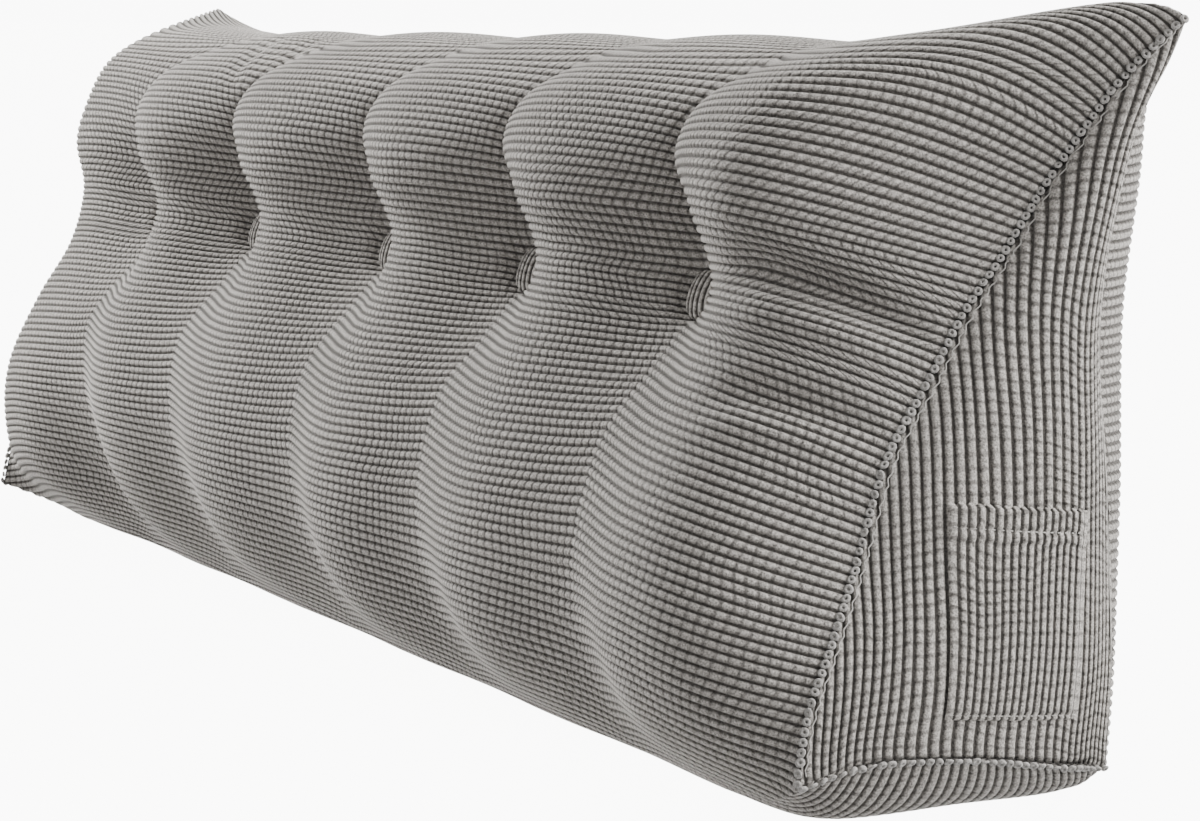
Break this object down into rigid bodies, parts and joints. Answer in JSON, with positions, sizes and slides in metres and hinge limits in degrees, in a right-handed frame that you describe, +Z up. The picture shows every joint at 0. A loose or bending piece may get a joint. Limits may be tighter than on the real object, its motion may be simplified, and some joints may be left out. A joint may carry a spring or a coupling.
{
  "type": "wedge backrest pillow",
  "caption": "Long wedge-shaped backrest pillow in ribbed cord cloth, button-tufted on its leaning face, with a patch pocket on one end.",
  "frame": {"origin": "on the floor under the middle of the cushion's bounding box", "axes": "+X along the length towards the end panel with the pocket, -Y out of the leaning face, +Z up"},
  "size_m": [1.564, 0.3562, 0.5035],
  "materials": {
    "cover": "grey wide-ribbed cord cloth with short pile, matte",
    "pocket": "grey wide-ribbed cord cloth with short pile, matte",
    "button": "grey ribbed cord cloth drawn over a domed disc, matte"
  },
  "bodies": {
    "root": {"cushion_body": "cover", "side_pocket": "pocket", "tuft_button_1": "button", "tuft_button_2": "button", "tuft_button_3": "button", "tuft_button_4": "button", "tuft_button_5": "button"}
  },
  "joints": []
}
